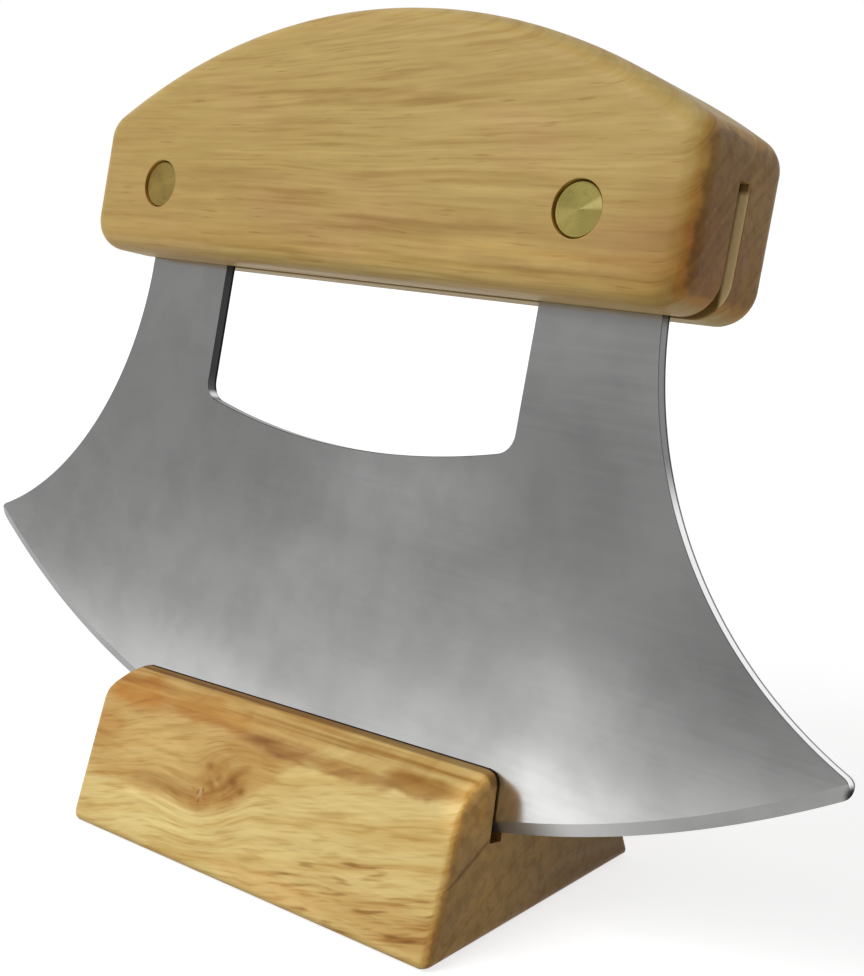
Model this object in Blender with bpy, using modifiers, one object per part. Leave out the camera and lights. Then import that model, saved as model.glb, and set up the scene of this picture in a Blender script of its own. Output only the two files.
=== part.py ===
# Ulu knife resting in its wooden display stand.
#
# The knife is a curved steel blade with two legs. The legs stand in a saw kerf in a domed wooden
# handle, and a two-piece brass rivet holds each of them. The knife leans back in a slot that is
# sawn into a small wooden block, and it lifts out along that slot.
#
# World axes: X runs along the stand, Y points to the rear, Z points up. The origin is the middle
# of the stand's underside. Lengths are in metres.

from math import acos, asin, atan2, cos, degrees, hypot, pi, radians, sin, sqrt

import bmesh
import bpy
from mathutils import Matrix, Vector

# Fits between pieces
CLEARANCE = 0.0003
CUT_OVERRUN = 0.004
WELD_DISTANCE = 0.00001

# Blade: sizes in its own plane, heights measured up from the lowest point of the cutting edge.
# It is cut out by hand, so its left and right sides differ a little.
BLADE_THICKNESS = 0.0016
EDGE_RADIUS = 0.1427
CORNER_SPAN = 0.1549
TIP_RADIUS = 0.0014
LEFT_WAIST_REACH = 0.0461
LEFT_WAIST_HEIGHT = 0.0673
RIGHT_WAIST_REACH = 0.0446
RIGHT_WAIST_HEIGHT = 0.0702
LEFT_WINDOW_REACH = 0.02925
RIGHT_WINDOW_REACH = 0.0273
WINDOW_FLOOR_SHIFT = -0.0022
WINDOW_FLOOR_HEIGHT = 0.0453
WINDOW_FLOOR_RADIUS = 0.1156
WINDOW_CORNER_RADIUS = 0.0028
GRIND_WIDTH = 0.0015
EDGE_THICKNESS = 0.0002

# Handle: a block with a straight underside, straight ends and one broad arc on top, whose
# highest point lies a little to the right of the middle
HANDLE_LENGTH = 0.1029
HANDLE_THICKNESS = 0.019
HANDLE_FOOT_HEIGHT = 0.0675
HANDLE_RISE = 0.0342
HANDLE_CROWN_RADIUS = 0.0973
HANDLE_CROWN_SHIFT = 0.001
HANDLE_SHOULDER_RADIUS = 0.0044
HANDLE_CORNER_RADIUS = 0.0046
HANDLE_ROUNDING = 0.0032
KERF_DEPTH = 0.0154

# Rivets: a sleeve from the front and a pin from the rear, both with turned heads
RIVET_SPACING = 0.0732
RIVET_RISE = 0.0098
RIVET_HEAD_RADIUS = 0.0031
RIVET_HEAD_THICKNESS = 0.0012
RIVET_HEAD_RECESS = 0.0004
RIVET_HEAD_CHAMFER = 0.0002
SLEEVE_RADIUS = 0.002
SLEEVE_WALL = 0.0005

# Stand: a block with leaning faces and a low crowned top, the same at the rear as at the front
STAND_LENGTH = 0.068
STAND_DEPTH = 0.043
STAND_HEIGHT = 0.0208
STAND_SHOULDER_HEIGHT = 0.0187
STAND_SHOULDER_SETBACK = 0.0072
STAND_CREST_SETBACK = 0.0138
STAND_ROUNDING = 0.002

# Slot in the stand, and how the knife sits in it
SLOT_LEAN = radians(11)
SLOT_FLOOR_SETBACK = 0.0128
SLOT_FLOOR_HEIGHT = 0.0105
SLOT_FLOOR_RADIUS = 0.4
KNIFE_ROCK = radians(3.6)
KNIFE_SHIFT = -0.0006

# Fineness of round shapes
EDGE_STEPS = 36
SIDE_STEPS = 16
FILLET_STEPS = 6
CROWN_STEPS = 28
FLOOR_STEPS = 8
ROUNDING_STEPS = 3
RIVET_STEPS = 32
GRIND_STEPS = 360
SHARP_ANGLE = radians(30)
RIM_ANGLE = radians(50)
FLAT_ANGLE = radians(0.1)

EMPTY_SIZE = 0.02

# Named places that follow from the sizes above
SLOT_WIDTH = BLADE_THICKNESS + 2 * CLEARANCE
KERF_WIDTH = BLADE_THICKNESS + 2 * CLEARANCE
LEG_TOP_HEIGHT = HANDLE_FOOT_HEIGHT + KERF_DEPTH - CLEARANCE
RIVET_HEIGHT = HANDLE_FOOT_HEIGHT + RIVET_RISE
COUNTERBORE_RADIUS = RIVET_HEAD_RADIUS + CLEARANCE
COUNTERBORE_DEPTH = RIVET_HEAD_RECESS + RIVET_HEAD_THICKNESS + CLEARANCE
RIVET_HOLE_RADIUS = SLEEVE_RADIUS + CLEARANCE


def clear_scene():
    """Remove whatever the scene holds."""
    for thing in list(bpy.data.objects):
        bpy.data.objects.remove(thing, do_unlink=True)


def new_collection(name):
    """Return a new collection linked to the scene."""
    group = bpy.data.collections.new(name)
    bpy.context.scene.collection.children.link(group)
    return group


def new_material(name, colour, metallic, roughness):
    """Return a Principled material."""
    material = bpy.data.materials.new(name)
    material.use_nodes = True
    shader = material.node_tree.nodes["Principled BSDF"]
    shader.inputs["Base Color"].default_value = (*colour, 1)
    shader.inputs["Metallic"].default_value = metallic
    shader.inputs["Roughness"].default_value = roughness
    material.diffuse_color = (*colour, 1)
    return material


def arc(centre, radius, start, end, steps):
    """Points along an arc from the start angle up to, but not including, the end angle."""
    turn = (end - start) / steps
    angles = [start + turn * step for step in range(steps)]
    return [(centre[0] + radius * cos(a), centre[1] + radius * sin(a)) for a in angles]


def direction(start, end):
    """Angle of the line from one point to another, between -pi and pi."""
    return atan2(end[1] - start[1], end[0] - start[0])


def crossing(centre_a, radius_a, centre_b, radius_b):
    """The crossing point of two circles that lies to the left of the way from a to b."""
    apart = hypot(centre_b[0] - centre_a[0], centre_b[1] - centre_a[1])
    angle = acos((radius_a**2 + apart**2 - radius_b**2) / (2 * radius_a * apart))
    heading = direction(centre_a, centre_b) + angle
    return (centre_a[0] + radius_a * cos(heading), centre_a[1] + radius_a * sin(heading))


def joined(right_half, left_half):
    """Close a right half outline with a left half, which is given as its mirror image."""
    return right_half + [(-x, y) for x, y in reversed(left_half[1:-1])]


def whole(right_half):
    """Close a right half outline, whose two ends lie on the middle line, with its mirror image."""
    return joined(right_half, right_half)


def plate(name, outline, thickness, group):
    """A flat piece: the outline lies in the XZ plane and the thickness is centred on it."""
    curve = bpy.data.curves.new(name, "CURVE")
    curve.dimensions = "2D"
    curve.fill_mode = "BOTH"
    curve.extrude = thickness / 2
    spline = curve.splines.new("POLY")
    spline.points.add(len(outline) - 1)
    for point, (x, y) in zip(spline.points, outline):
        point.co = (x, y, 0, 1)
    spline.use_cyclic_u = True
    drawing = bpy.data.objects.new(name, curve)
    group.objects.link(drawing)
    drawing.rotation_euler = (pi / 2, 0, 0)
    bpy.context.view_layer.update()

    evaluated = drawing.evaluated_get(bpy.context.evaluated_depsgraph_get())
    mesh = bpy.data.meshes.new_from_object(evaluated)
    turn = drawing.matrix_world.copy()
    bpy.data.objects.remove(drawing, do_unlink=True)
    shape = bmesh.new()
    shape.from_mesh(mesh)
    bmesh.ops.remove_doubles(shape, verts=shape.verts, dist=WELD_DISTANCE)
    bmesh.ops.dissolve_limit(shape, angle_limit=FLAT_ANGLE, verts=shape.verts, edges=shape.edges)
    bmesh.ops.transform(shape, matrix=turn, verts=shape.verts)
    bmesh.ops.recalc_face_normals(shape, faces=shape.faces)
    shape.to_mesh(mesh)
    shape.free()
    piece = bpy.data.objects.new(name, mesh)
    group.objects.link(piece)
    return piece


def turned(name, profile, steps, group):
    """A turned piece: the profile of (radius, height) points goes once round the Z axis."""
    mesh = bpy.data.meshes.new(name)
    closed = profile[0][0] > 0
    edges = [(n, n + 1) for n in range(len(profile) - 1)]
    if closed:
        edges.append((len(profile) - 1, 0))
    mesh.from_pydata([(radius, 0, height) for radius, height in profile], edges, [])
    piece = bpy.data.objects.new(name, mesh)
    group.objects.link(piece)
    lathe = piece.modifiers.new("Lathe", "SCREW")
    lathe.steps = steps
    lathe.render_steps = steps
    lathe.use_merge_vertices = True
    lathe.merge_threshold = WELD_DISTANCE
    lathe.use_smooth_shade = True
    return piece


def settle(name, place, group):
    """Name the newest primitive, apply its place to its mesh, and move it to a collection."""
    piece = bpy.context.object
    piece.name = name
    piece.data.name = name
    piece.data.transform(place)
    for owner in list(piece.users_collection):
        owner.objects.unlink(piece)
    group.objects.link(piece)
    return piece


def cylinder(name, radius, length, group):
    """A cylinder along Y, centred on its own origin."""
    bpy.ops.mesh.primitive_cylinder_add(vertices=RIVET_STEPS, radius=radius, depth=length)
    return settle(name, Matrix.Rotation(pi / 2, 4, "X"), group)


def box(name, low, high, group):
    """A box between two corners."""
    size = Vector(high) - Vector(low)
    middle = (Vector(high) + Vector(low)) / 2
    bpy.ops.mesh.primitive_cube_add(size=1)
    return settle(name, Matrix.Translation(middle) @ Matrix.Diagonal((*size, 1)), group)


def round_edges(piece, radius, steps, angle):
    """Round every edge that turns by more than the given angle."""
    rounding = piece.modifiers.new("Rounding", "BEVEL")
    rounding.width = radius
    rounding.segments = steps
    rounding.limit_method = "ANGLE"
    rounding.angle_limit = angle


def cut(piece, cutter):
    """Cut a piece with a hidden cutter."""
    cutter.hide_render = True
    cutter.display_type = "WIRE"
    removal = piece.modifiers.new("Cut " + cutter.name, "BOOLEAN")
    removal.operation = "DIFFERENCE"
    removal.solver = "EXACT"
    removal.object = cutter


def carry(child, parent):
    """Hang an object on its frame."""
    child.parent = parent


def dress(piece, material, sharp_angle):
    """Give a piece its material and its shading."""
    piece.data.materials.append(material)
    piece.data.shade_smooth()
    piece.data.set_sharp_from_angle(angle=sharp_angle)


def frame_empty(name, group):
    """An empty that carries other pieces."""
    empty = bpy.data.objects.new(name, None)
    empty.empty_display_size = EMPTY_SIZE
    group.objects.link(empty)
    return empty


def blade_side(waist_reach, waist_height):
    """Half of the cutting edge, the rounded tip, the hollow side and the outside of the leg."""
    edge_centre = (0, EDGE_RADIUS)
    corner_x = CORNER_SPAN / 2
    corner_y = EDGE_RADIUS - sqrt(EDGE_RADIUS**2 - corner_x**2)
    reach = corner_x - waist_reach
    drop = waist_height - corner_y
    side_radius = (reach**2 + drop**2) / (2 * reach)
    side_centre = (waist_reach + side_radius, waist_height)
    tip = crossing(side_centre, side_radius + TIP_RADIUS, edge_centre, EDGE_RADIUS - TIP_RADIUS)

    tip_from_edge = direction(edge_centre, tip)
    tip_to_side = direction(tip, side_centre)
    side_to_tip = direction(side_centre, tip) + 2 * pi
    side = arc(edge_centre, EDGE_RADIUS, -pi / 2, tip_from_edge, EDGE_STEPS)
    side += arc(tip, TIP_RADIUS, tip_from_edge, tip_to_side, FILLET_STEPS)
    side += arc(side_centre, side_radius, side_to_tip, pi, SIDE_STEPS)
    return side + [(waist_reach, waist_height), (waist_reach, LEG_TOP_HEIGHT)]


def window_side(reach, floor_shift):
    """The inside of a leg, the window's corner and its floor as far as the lowest point."""
    floor_centre = (floor_shift, WINDOW_FLOOR_HEIGHT + WINDOW_FLOOR_RADIUS)
    corner_x = reach - WINDOW_CORNER_RADIUS
    corner_distance = WINDOW_FLOOR_RADIUS - WINDOW_CORNER_RADIUS
    corner_drop = sqrt(corner_distance**2 - (corner_x - floor_shift)**2)
    corner = (corner_x, floor_centre[1] - corner_drop)
    corner_from_floor = direction(floor_centre, corner)
    side = [(reach, LEG_TOP_HEIGHT)]
    side += arc(corner, WINDOW_CORNER_RADIUS, 0, corner_from_floor, FILLET_STEPS)
    side += arc(floor_centre, WINDOW_FLOOR_RADIUS, corner_from_floor, -pi / 2, SIDE_STEPS)
    return side + [(floor_shift, WINDOW_FLOOR_HEIGHT)]


def blade_outline():
    """The two sides of the blade, which meet at the bottom of the edge and of the window."""
    right_half = blade_side(RIGHT_WAIST_REACH, RIGHT_WAIST_HEIGHT)
    right_half += window_side(RIGHT_WINDOW_REACH, WINDOW_FLOOR_SHIFT)
    left_half = blade_side(LEFT_WAIST_REACH, LEFT_WAIST_HEIGHT)
    left_half += window_side(LEFT_WINDOW_REACH, -WINDOW_FLOOR_SHIFT)
    return joined(right_half, left_half)


def grinding_ring(name, group):
    """The stone's path: a ring that takes the face down to the cutting edge."""
    face = BLADE_THICKNESS / 2
    edge = EDGE_THICKNESS / 2
    slope = (face - edge) / GRIND_WIDTH
    inner = EDGE_RADIUS - GRIND_WIDTH
    outer = EDGE_RADIUS + CUT_OVERRUN
    profile = [
        (inner, face),
        (inner, face + CUT_OVERRUN),
        (outer, face + CUT_OVERRUN),
        (outer, edge - slope * CUT_OVERRUN),
    ]
    return turned(name, profile, GRIND_STEPS, group)


def make_blade(parts, cutters, knife, steel):
    """A flat blade, ground on both faces along its curved edge, with a rivet hole in each leg."""
    blade = plate("blade", blade_outline(), BLADE_THICKNESS, parts)
    carry(blade, knife)
    for side, turn in (("front", pi / 2), ("rear", -pi / 2)):
        ring = grinding_ring("grind_" + side, cutters)
        ring.location = (0, 0, EDGE_RADIUS)
        ring.rotation_euler = (turn, 0, 0)
        carry(ring, knife)
        cut(blade, ring)
    for side, sign in (("left", -1), ("right", 1)):
        hole = cylinder("leg_hole_" + side, RIVET_HOLE_RADIUS, BLADE_THICKNESS + CUT_OVERRUN, cutters)
        hole.location = (sign * RIVET_SPACING / 2, 0, RIVET_HEIGHT)
        carry(hole, knife)
        cut(blade, hole)
    dress(blade, steel, SHARP_ANGLE)
    return blade


def handle_side(crown_shift):
    """Half of the underside, the lower corner, the end, the shoulder and half of the crown."""
    half_length = HANDLE_LENGTH / 2
    crown_centre = (crown_shift, HANDLE_FOOT_HEIGHT + HANDLE_RISE - HANDLE_CROWN_RADIUS)
    corner = (half_length - HANDLE_CORNER_RADIUS, HANDLE_FOOT_HEIGHT + HANDLE_CORNER_RADIUS)
    shoulder_x = half_length - HANDLE_SHOULDER_RADIUS
    shoulder_distance = HANDLE_CROWN_RADIUS - HANDLE_SHOULDER_RADIUS
    shoulder_turn = acos((shoulder_x - crown_shift) / shoulder_distance)
    shoulder = (shoulder_x, crown_centre[1] + shoulder_distance * sin(shoulder_turn))
    side = [(0, HANDLE_FOOT_HEIGHT)]
    side += arc(corner, HANDLE_CORNER_RADIUS, -pi / 2, 0, FILLET_STEPS)
    side += [(half_length, corner[1])]
    side += arc(shoulder, HANDLE_SHOULDER_RADIUS, 0, shoulder_turn, FILLET_STEPS)
    side += arc(crown_centre, HANDLE_CROWN_RADIUS, shoulder_turn, pi / 2, CROWN_STEPS)
    return side + [(crown_shift, HANDLE_FOOT_HEIGHT + HANDLE_RISE)]


def make_handle(parts, cutters, knife, wood):
    """One block with rounded edges, a kerf along its underside and two counterbored holes."""
    outline = joined(handle_side(HANDLE_CROWN_SHIFT), handle_side(-HANDLE_CROWN_SHIFT))
    handle = plate("handle", outline, HANDLE_THICKNESS, parts)
    carry(handle, knife)
    round_edges(handle, HANDLE_ROUNDING, ROUNDING_STEPS, RIM_ANGLE)
    kerf_reach = HANDLE_LENGTH / 2 + CUT_OVERRUN
    kerf_low = (-kerf_reach, -KERF_WIDTH / 2, HANDLE_FOOT_HEIGHT - CUT_OVERRUN)
    kerf_high = (kerf_reach, KERF_WIDTH / 2, HANDLE_FOOT_HEIGHT + KERF_DEPTH)
    kerf = box("handle_kerf", kerf_low, kerf_high, cutters)
    carry(kerf, knife)
    cut(handle, kerf)
    bore_length = COUNTERBORE_DEPTH + CUT_OVERRUN
    bore_middle = (HANDLE_THICKNESS + bore_length) / 2 - COUNTERBORE_DEPTH
    for side, sign in (("left", -1), ("right", 1)):
        x = sign * RIVET_SPACING / 2
        hole = cylinder("handle_hole_" + side, RIVET_HOLE_RADIUS, HANDLE_THICKNESS + CUT_OVERRUN, cutters)
        hole.location = (x, 0, RIVET_HEIGHT)
        carry(hole, knife)
        cut(handle, hole)
        for face, way in (("front", -1), ("rear", 1)):
            bore = cylinder("counterbore_" + face + "_" + side, COUNTERBORE_RADIUS, bore_length, cutters)
            bore.location = (x, way * bore_middle, RIVET_HEIGHT)
            carry(bore, knife)
            cut(handle, bore)
    dress(handle, wood, SHARP_ANGLE)
    return handle


def head_profile(top):
    """The turned head of a rivet, from its middle out over the chamfer and down to its seat."""
    return [
        (0, top),
        (RIVET_HEAD_RADIUS - RIVET_HEAD_CHAMFER, top),
        (RIVET_HEAD_RADIUS, top - RIVET_HEAD_CHAMFER),
        (RIVET_HEAD_RADIUS, top - RIVET_HEAD_THICKNESS),
    ]


def sleeve_profile():
    """Head and hollow shank. Heights are measured from the handle's middle plane."""
    top = HANDLE_THICKNESS / 2 - RIVET_HEAD_RECESS
    seat = top - RIVET_HEAD_THICKNESS
    mouth = -seat + CLEARANCE
    bore = SLEEVE_RADIUS - SLEEVE_WALL
    profile = head_profile(top)
    profile += [(SLEEVE_RADIUS, seat), (SLEEVE_RADIUS, mouth), (bore, mouth), (bore, seat), (0, seat)]
    return profile


def pin_profile():
    """Head and solid shank, which fills the sleeve's bore."""
    top = HANDLE_THICKNESS / 2 - RIVET_HEAD_RECESS
    seat = top - RIVET_HEAD_THICKNESS
    shank = SLEEVE_RADIUS - SLEEVE_WALL - CLEARANCE
    end = -seat + CLEARANCE
    profile = head_profile(top)
    profile += [(shank, seat), (shank, end), (0, end)]
    return profile


def make_rivets(parts, knife, brass):
    """A sleeve from the front and a pin from the rear at each leg."""
    for side, sign in (("left", -1), ("right", 1)):
        halves = (("rivet_sleeve_", sleeve_profile(), pi / 2), ("rivet_pin_", pin_profile(), -pi / 2))
        for name, profile, turn in halves:
            half = turned(name + side, profile, RIVET_STEPS, parts)
            half.location = (sign * RIVET_SPACING / 2, 0, RIVET_HEIGHT)
            half.rotation_euler = (turn, 0, 0)
            carry(half, knife)
            dress(half, brass, SHARP_ANGLE)


def stand_outline():
    """Section of the stand seen from its end: foot, shoulder and crest."""
    foot = STAND_DEPTH / 2
    half = [(0, 0), (foot, 0), (foot - STAND_SHOULDER_SETBACK, STAND_SHOULDER_HEIGHT)]
    half += [(foot - STAND_CREST_SETBACK, STAND_HEIGHT), (0, STAND_HEIGHT)]
    return whole(half)


def slot_outline():
    """The slot seen from the front: a dished floor and two sides that run out of the block."""
    reach = STAND_LENGTH / 2 + CUT_OVERRUN
    swing = asin(reach / SLOT_FLOOR_RADIUS)
    floor_centre = (0, SLOT_FLOOR_RADIUS)
    top = STAND_HEIGHT + CUT_OVERRUN
    half = arc(floor_centre, SLOT_FLOOR_RADIUS, -pi / 2, swing - pi / 2, FLOOR_STEPS)
    half += [(reach, SLOT_FLOOR_RADIUS - SLOT_FLOOR_RADIUS * cos(swing)), (reach, top), (0, top)]
    return whole(half)


def make_stand(parts, cutters, slot, wood):
    """A block with eased edges and a leaning slot along its whole length."""
    stand = plate("stand", stand_outline(), STAND_LENGTH, parts)
    stand.rotation_euler = (0, 0, pi / 2)
    round_edges(stand, STAND_ROUNDING, ROUNDING_STEPS, SHARP_ANGLE / 2)
    saw = plate("stand_slot", slot_outline(), SLOT_WIDTH, cutters)
    carry(saw, slot)
    cut(stand, saw)
    dress(stand, wood, SHARP_ANGLE)
    return stand


def make_frames(parts):
    """The slot's frame, whose Z axis is the way out, and the rocked knife's frame within it."""
    slot = frame_empty("slot_frame", parts)
    slot.location = (0, SLOT_FLOOR_SETBACK - STAND_DEPTH / 2, SLOT_FLOOR_HEIGHT)
    slot.rotation_euler = (-SLOT_LEAN, 0, 0)

    edge_centre_x = KNIFE_SHIFT + EDGE_RADIUS * sin(KNIFE_ROCK)
    apart = SLOT_FLOOR_RADIUS - EDGE_RADIUS - CLEARANCE
    edge_centre_z = SLOT_FLOOR_RADIUS - sqrt(apart**2 - edge_centre_x**2)
    knife = frame_empty("knife_frame", parts)
    knife.location = (KNIFE_SHIFT, 0, edge_centre_z - EDGE_RADIUS * cos(KNIFE_ROCK))
    knife.rotation_euler = (0, KNIFE_ROCK, 0)
    carry(knife, slot)
    return slot, knife


def main():
    clear_scene()
    parts = new_collection("ulu_knife")
    cutters = new_collection("cutters")
    steel = new_material("blade_steel", (0.34, 0.34, 0.33), 1, 0.34)
    honey_wood = new_material("handle_wood", (0.48, 0.33, 0.12), 0, 0.5)
    golden_wood = new_material("stand_wood", (0.62, 0.4, 0.14), 0, 0.55)
    brass = new_material("rivet_brass", (0.55, 0.43, 0.15), 1, 0.32)

    slot, knife = make_frames(parts)
    make_stand(parts, cutters, slot, golden_wood)
    make_blade(parts, cutters, knife, steel)
    make_handle(parts, cutters, knife, honey_wood)
    make_rivets(parts, knife, brass)
    bpy.context.view_layer.update()
    print("ulu knife: leans back", round(degrees(SLOT_LEAN), 1), "degrees")


main()
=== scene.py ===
# %% [markdown]
# # An ulu knife resting in its wooden stand
#
# An ulu is a curved knife for chopping and scraping. This one has a flat steel blade with two
# legs, a domed wooden handle that is sawn open to take the legs, and a brass rivet through each
# leg. It leans back a little in a slot in a small wooden block, and it lifts out along that slot.
#
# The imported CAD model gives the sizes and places. This lesson builds the pieces again with finer
# edges, gives each of them a finish, and puts them back where the CAD says.

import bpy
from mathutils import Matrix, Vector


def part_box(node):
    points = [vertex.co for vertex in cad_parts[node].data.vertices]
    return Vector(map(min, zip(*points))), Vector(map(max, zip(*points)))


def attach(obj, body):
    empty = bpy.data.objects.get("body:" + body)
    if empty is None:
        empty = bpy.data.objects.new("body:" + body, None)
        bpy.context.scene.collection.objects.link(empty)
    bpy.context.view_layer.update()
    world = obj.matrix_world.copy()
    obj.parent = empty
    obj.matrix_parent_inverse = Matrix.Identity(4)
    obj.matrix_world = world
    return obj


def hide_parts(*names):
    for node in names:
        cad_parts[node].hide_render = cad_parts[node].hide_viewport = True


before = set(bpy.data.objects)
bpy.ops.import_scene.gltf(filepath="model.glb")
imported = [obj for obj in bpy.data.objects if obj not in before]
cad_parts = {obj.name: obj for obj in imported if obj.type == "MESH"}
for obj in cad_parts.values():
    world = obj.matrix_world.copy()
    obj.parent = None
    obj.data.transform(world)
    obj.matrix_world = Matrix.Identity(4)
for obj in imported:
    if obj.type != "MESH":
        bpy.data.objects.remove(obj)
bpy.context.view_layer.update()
print("CAD pieces:", ", ".join(sorted(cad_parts)))

# %% Import what the lesson uses
from math import acos, atan2, cos, hypot, pi, radians, sin, sqrt, tan

import bmesh
import bpy
from mathutils import Matrix, Vector

MM = 0.001
HAIR = MM / 100

# %% [markdown]
# ## Camera, floor and light
#
# The camera is set first, so that every finish can be judged from where it will be seen. Its
# place was worked out from the corners of the pieces: it stands at the right of the front, a
# little above the handle, and the small shift puts the knife where the frame wants it.

# %% Place the camera
CAMERA_PLACE = (0.131698, -0.135026, 0.083363)
CAMERA_AZIMUTH = radians(40.909)
CAMERA_DOWN = radians(9.388)
CAMERA_LENS = 52.189
CAMERA_SENSOR = 36
CAMERA_SHIFT = (0.0130, -0.0173)
CAMERA_NEAR = 0.005

bpy.ops.object.camera_add(location=CAMERA_PLACE, rotation=(pi / 2 - CAMERA_DOWN, 0, CAMERA_AZIMUTH))
camera = bpy.context.object
camera.name = "camera"
camera.data.sensor_width = CAMERA_SENSOR
camera.data.lens = CAMERA_LENS
camera.data.shift_x, camera.data.shift_y = CAMERA_SHIFT
camera.data.clip_start = CAMERA_NEAR
bpy.context.scene.camera = camera
bpy.context.scene.view_settings.view_transform = "Standard"
print("lens:", CAMERA_LENS, "mm")

# %% [markdown]
# ## Small helpers for shader nodes
#
# A finish is a tree of nodes. These helpers add one node each and return its output, so that a
# finish reads as a short recipe: take a place on the piece, make noise from it, turn the noise
# into a colour. A value that is a number goes on the socket, and a value that is another node's
# output is linked to it. The nodes go to the finish that is being made: its tree is always called
# tree, and its shader is called shader.


# %% Node helpers
def feed(socket, value):
    """Put a number on a socket, or link another node's output to it."""
    if isinstance(value, bpy.types.NodeSocket):
        tree.links.new(value, socket)
    else:
        socket.default_value = value


def add_node(kind, inputs, output, **settings):
    """Add a node, set its options, feed its sockets and return one of its outputs."""
    node = tree.nodes.new("ShaderNode" + kind)
    for name, value in settings.items():
        setattr(node, name, value)
    for name, value in inputs.items():
        feed(node.inputs[name], value)
    return node.outputs[output]


def calc(operation, *values):
    """A Math node."""
    return add_node("Math", dict(enumerate(values)), "Value", operation=operation)


def times(first, second):
    """One value times another. Of two masks it leaves the part that they share."""
    return calc("MULTIPLY", first, second)


def spread(value, low, high, to_low=0.0, to_high=1.0):
    """A Map Range node that eases between two values and stays inside them."""
    inputs = {"Value": value, "From Min": low, "From Max": high, "To Min": to_low, "To Max": to_high}
    return add_node("MapRange", inputs, "Result", interpolation_type="SMOOTHSTEP")


def diagonal(first, second):
    """The diagonal over two distances."""
    return calc("SQRT", calc("MULTIPLY_ADD", first, first, times(second, second)))


def dot(place, axis):
    """How far a place, or a direction, reaches along an axis."""
    return add_node("VectorMath", {0: place, 1: axis}, "Value", operation="DOT_PRODUCT")


def noise(place, scale=None, detail=2.0, roughness=0.5):
    """Soft noise between 0 and 1. A small scale along an axis draws it out along that axis."""
    if scale:
        place = add_node("VectorMath", {0: place, 1: scale}, "Vector", operation="MULTIPLY")
    inputs = {"Vector": place, "Scale": 1, "Detail": detail, "Roughness": roughness}
    return add_node("TexNoise", inputs, "Fac")


def parts_of(place):
    """The three numbers that make up a place."""
    node = tree.nodes.new("ShaderNodeSeparateXYZ")
    feed(node.inputs["Vector"], place)
    return list(node.outputs)


def seen_from(place, corner, turn=(0, 0, 0), size=(1, 1, 1)):
    """The place as measured from another corner, along turned axes and in another size."""
    inputs = {"Vector": place, "Location": corner, "Rotation": turn, "Scale": size}
    return add_node("Mapping", inputs, "Vector", vector_type="TEXTURE")


def blend(amount, first, second, way="MIX"):
    """A colour Mix node."""
    return add_node("Mix", {"Factor": amount, 6: first, 7: second}, 2, data_type="RGBA", blend_type=way)


def own_place():
    """The place on the piece in metres: every piece sits at the origin, so these are its own axes."""
    return add_node("TexCoord", {}, "Object")


def facing(axis):
    """How far the surface faces along an axis: 1 when square to it, 0 when the axis lies in it."""
    return calc("ABSOLUTE", dot(add_node("NewGeometry", {}, "Normal"), axis))


def raise_by(height, distance):
    """A Bump node: the height is between 0 and 1, and the distance is its full size."""
    feed(shader.inputs["Normal"], add_node("Bump", {"Distance": distance, "Height": height}, "Normal"))


def new_finish(name, settings):
    """A material with its Principled shader, and the tree that feeds it."""
    finish = bpy.data.materials.new(name)
    finish.use_nodes = True
    shader = finish.node_tree.nodes["Principled BSDF"]
    for socket, value in settings.items():
        shader.inputs[socket].default_value = value
    return finish, finish.node_tree, shader


def grey(level):
    """A plain grey as a linear colour."""
    return (level, level, level, 1)


def paint(red, green, blue):
    """A colour in screen values from 0 to 255, turned into the linear values that a shader wants."""
    shares = [value / 255 for value in (red, green, blue)]
    return (*[share / 12.92 if share < 0.04045 else ((share + 0.055) / 1.055) ** 2.4 for share in shares], 1)


print("mid grey is", round(paint(128, 128, 128)[0], 3), "as a linear value")

# %% [markdown]
# ## A white room
#
# The world lights the pieces evenly with a grey, and what looks straight at it, or sees it in
# metal, sees white. A Light Path node tells the two apart. The lamps are wide and soft, and the
# brighter one stands at the front left, so the right ends of the wood fall into shade.

# %% Make the world
WORLD_LIGHT = 0.33
WORLD_SEEN = 1.0

world = bpy.data.worlds.new("white_room")
bpy.context.scene.world = world
world.use_nodes = True
tree = world.node_tree
background = tree.nodes["Background"]


def seen_rays():
    """1 where the camera, a reflection or a view through glass looks, and 0 for lighting."""
    path = tree.nodes.new("ShaderNodeLightPath")
    straight = calc("MAXIMUM", path.outputs["Is Camera Ray"], path.outputs["Is Glossy Ray"])
    return calc("MAXIMUM", straight, path.outputs["Is Transmission Ray"])


background.inputs["Color"].default_value = grey(1)
feed(background.inputs["Strength"], spread(seen_rays(), 0, 1, WORLD_LIGHT, WORLD_SEEN))
print("world light:", WORLD_LIGHT)

# %% Hang the lamps
LAMP_TARGET = Vector((0, 0, 0.05))


def hang_lamp(name, place, size, power):
    """A square soft lamp that faces the knife."""
    aim = (LAMP_TARGET - Vector(place)).to_track_quat("-Z", "Y").to_euler()
    bpy.ops.object.light_add(type="AREA", location=place, rotation=aim)
    lamp = bpy.context.object
    lamp.name = name
    lamp.data.size = size
    lamp.data.energy = power


hang_lamp("key_lamp", (-0.35, -0.75, 0.75), size=0.7, power=8.2)
hang_lamp("fill_lamp", (0.9, -0.5, 0.5), size=0.8, power=0.8)

# %% [markdown]
# ## The floor
#
# The floor has to be white where the camera and the metal look at it, and still show the
# knife's shadow. So it is part white paint, which takes the shadow, and part glow, which only
# looks and reflections see. The glow is a little weaker near the stand, where the lamps add more.

# %% Lay the floor
FLOOR_SIZE = 6
FLOOR_DROP = 0.00005
FLOOR_PAINT = 0.5
FLOOR_GLOW_NEAR = 0.72
FLOOR_GLOW_FAR = 0.97
FLOOR_NEAR = 0.15
FLOOR_FAR = 1.2

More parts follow.
